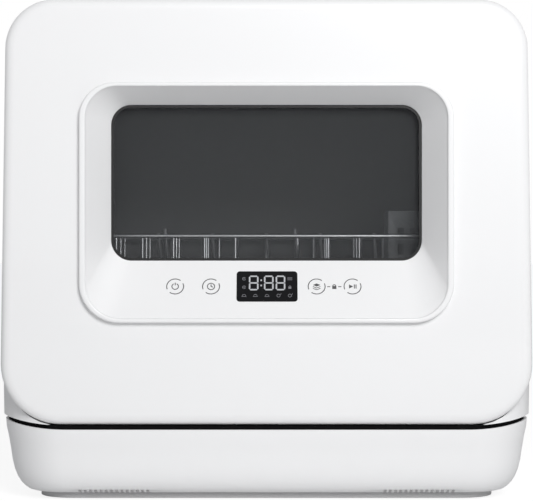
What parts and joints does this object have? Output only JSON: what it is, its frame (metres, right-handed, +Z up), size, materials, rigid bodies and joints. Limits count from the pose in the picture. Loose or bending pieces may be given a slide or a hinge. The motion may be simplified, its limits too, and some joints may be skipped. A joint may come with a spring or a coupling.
{
  "type": "countertop dishwasher",
  "caption": "Compact countertop dishwasher: drop-down door with a sunken window and touch strip, sliding rack, spray arm, pumps and a top-filled water tank.",
  "frame": {"origin": "on the standing surface under the middle of the whole object", "axes": "+Z up, the door faces -Y, +X to the right seen from the front"},
  "size_m": [0.446, 0.435, 0.416],
  "materials": {
    "white_shell": "satin gloss white moulding",
    "base_white": "satin white moulding",
    "plinth_grey": "matt grey",
    "seam_black": "matt black",
    "rubber_dark": "dark grey rubber",
    "frame_white": "matt white",
    "apron_grey": "matt grey",
    "panel_grey": "painted sheet",
    "tub_grey": "satin grey",
    "steel": "bright steel",
    "rack_wire": "satin stainless wire",
    "basket_grey": "matt grey",
    "dark_plastic": "matt dark grey",
    "impeller_white": "matt white",
    "hose_grey": "grey rubber hose",
    "tank_clear": "milky plastic",
    "window_tint": "tinted glass",
    "window_clear": "clear pane",
    "display_black": "glossy black lens",
    "board_green": "circuit board",
    "pad_brass": "sprung contacts"
  },
  "bodies": {
    "cabinet": {"cabinet_shell": "white_shell", "base_housing": "base_white", "base_plate": "plinth_grey", "rubber_feet": "rubber_dark", "seam_ring": "seam_black", "front_frame": "frame_white", "front_apron": "apron_grey", "rear_panel": "panel_grey", "panel_screws": "steel", "tub": "tub_grey", "tub_seal": "rubber_dark", "roller_axles": "steel", "sump": "dark_plastic", "filter_plate": "steel", "spray_post": "frame_white", "wash_pump_housing": "dark_plastic", "wash_pump_motor": "dark_plastic", "drain_pump_housing": "dark_plastic", "drain_pump_motor": "dark_plastic", "flow_heater": "steel", "hoses": "hose_grey", "water_tank": "tank_clear", "inlet_valve": "frame_white", "drain_spigot": "dark_plastic", "cord_gland": "seam_black", "fan_housing": "dark_plastic", "main_board": "board_green", "fill_lid_pin": "steel", "catch_magnet": "dark_plastic", "hinge_brackets": "steel", "hinge_pins": "steel"},
    "door": {"door_shell": "white_shell", "door_liner": "frame_white", "liner_screws": "steel", "window_bezel": "white_shell", "window_glass": "window_tint", "window_gasket": "rubber_dark", "inner_pane": "window_clear", "display_lens": "display_black", "touch_pads": "pad_brass", "control_board": "board_green", "hinge_arms": "steel", "catch_plate": "steel", "dispenser_cup": "frame_white"},
    "rack": {"rack_frame": "rack_wire", "rack_rails": "frame_white", "cutlery_basket": "basket_grey"},
    "spray_arm": {"spray_arm": "apron_grey"},
    "filter_cup": {"filter_cup": "apron_grey"},
    "wash_impeller": {"wash_impeller": "impeller_white"},
    "drain_impeller": {"drain_impeller": "impeller_white"},
    "fan_impeller": {"fan_impeller": "impeller_white"},
    "fill_lid": {"fill_lid": "white_shell"},
    "dispenser_lid": {"dispenser_lid": "apron_grey"},
    "roller_front_right": {"roller_front_right": "frame_white"},
    "roller_rear_right": {"roller_rear_right": "frame_white"},
    "roller_front_left": {"roller_front_left": "frame_white"},
    "roller_rear_left": {"roller_rear_left": "frame_white"}
  },
  "joints": [
    {"name": "door_hinge", "type": "hinge", "parent": "cabinet", "child": "door", "pos_m": [0, -0.1995, 0.0988], "axis": [1, 0, 0], "range_deg": [0, 90]},
    {"name": "rack_slide", "type": "slide", "parent": "cabinet", "child": "rack", "axis": [0, -1, 0], "range_m": [0, 0.18]},
    {"name": "spray_arm_spin", "type": "hinge", "parent": "cabinet", "child": "spray_arm", "pos_m": [0, -0.023, 0.147], "axis": [0, 0, 1], "continuous": true},
    {"name": "filter_twist", "type": "hinge", "parent": "cabinet", "child": "filter_cup", "pos_m": [0.095, -0.095, 0.11], "axis": [0, 0, 1], "range_deg": [0, 60]},
    {"name": "wash_impeller_spin", "type": "hinge", "parent": "cabinet", "child": "wash_impeller", "pos_m": [0.01, -0.08, 0.058], "axis": [0, 1, 0], "continuous": true},
    {"name": "drain_impeller_spin", "type": "hinge", "parent": "cabinet", "child": "drain_impeller", "pos_m": [0.15, -0.04, 0.05], "axis": [0, 1, 0], "continuous": true},
    {"name": "fan_impeller_spin", "type": "hinge", "parent": "cabinet", "child": "fan_impeller", "pos_m": [0.2, 0.04, 0.32], "axis": [1, 0, 0], "continuous": true},
    {"name": "fill_lid_hinge", "type": "hinge", "parent": "cabinet", "child": "fill_lid", "pos_m": [0, 0.187, 0.4135], "axis": [-1, 0, 0], "range_deg": [0, 100]},
    {"name": "dispenser_lid_slide", "type": "slide", "parent": "door", "child": "dispenser_lid", "axis": [1, 0, 0], "range_m": [0, 0.041]},
    {"name": "roller_front_right_spin", "type": "hinge", "parent": "cabinet", "child": "roller_front_right", "pos_m": [0.18, -0.125, 0.1898], "axis": [1, 0, 0], "range_deg": [0, 1300]},
    {"name": "roller_rear_right_spin", "type": "hinge", "parent": "cabinet", "child": "roller_rear_right", "pos_m": [0.18, -0.088, 0.1898], "axis": [1, 0, 0], "range_deg": [0, 1300]},
    {"name": "roller_front_left_spin", "type": "hinge", "parent": "cabinet", "child": "roller_front_left", "pos_m": [-0.18, -0.125, 0.1898], "axis": [1, 0, 0], "range_deg": [0, 1300]},
    {"name": "roller_rear_left_spin", "type": "hinge", "parent": "cabinet", "child": "roller_rear_left", "pos_m": [-0.18, -0.088, 0.1898], "axis": [1, 0, 0], "range_deg": [0, 1300]}
  ],
  "couplings": [
    {"joint": "rack_slide", "follows": "door_hinge", "m_per_rad": 0.1145},
    {"joint": "roller_front_right_spin", "follows": "door_hinge", "ratio": 14.312},
    {"joint": "roller_rear_right_spin", "follows": "door_hinge", "ratio": 14.312},
    {"joint": "roller_front_left_spin", "follows": "door_hinge", "ratio": 14.312},
    {"joint": "roller_rear_left_spin", "follows": "door_hinge", "ratio": 14.312}
  ]
}
